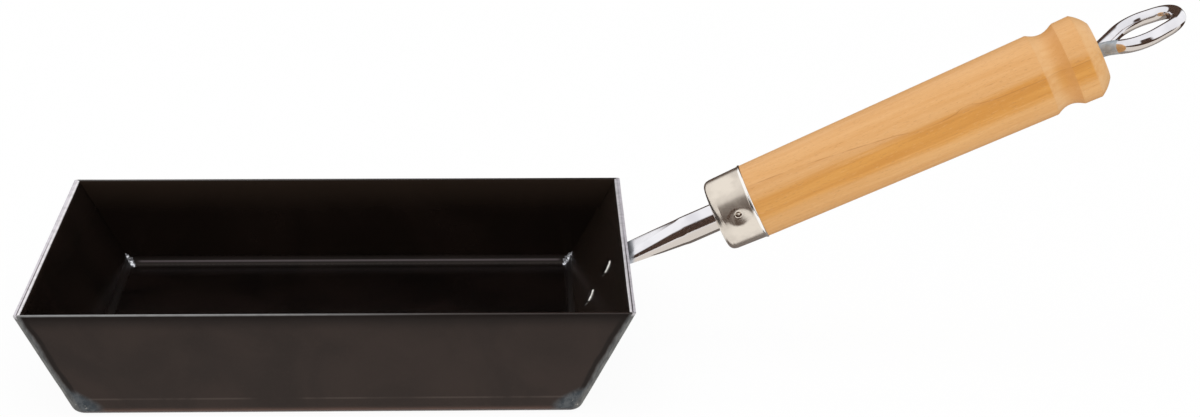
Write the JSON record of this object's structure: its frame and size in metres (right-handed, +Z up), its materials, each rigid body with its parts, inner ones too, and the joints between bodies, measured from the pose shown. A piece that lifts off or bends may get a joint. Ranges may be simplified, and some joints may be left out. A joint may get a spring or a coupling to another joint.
{
  "type": "tamagoyaki pan",
  "caption": "Rectangular rolled omelette pan of folded black iron, with upright sides and flared ends, on a riveted tube shank with a turned wooden grip and a hanging eye.",
  "frame": {"origin": "centre of the pan's flat underside, on the table", "axes": "+X towards the handle, +Y across the pan, +Z up"},
  "size_m": [0.3688, 0.13, 0.1117],
  "materials": {
    "pan_iron": "satin",
    "weld_steel": "satin",
    "shank_chrome": "polished",
    "insert_steel": "satin",
    "ferrule_nickel": "satin",
    "grip_wood": "satin",
    "eye_chrome": "polished"
  },
  "bodies": {
    "root": {"pan_body": "pan_iron", "weld_front_left": "weld_steel", "weld_front_right": "weld_steel", "weld_back_left": "weld_steel", "weld_back_right": "weld_steel", "rivet_upper": "pan_iron", "rivet_lower": "pan_iron", "handle_shank": "shank_chrome", "shank_insert": "insert_steel", "ferrule": "ferrule_nickel", "wooden_grip": "grip_wood", "hanging_eye": "eye_chrome"}
  },
  "joints": []
}
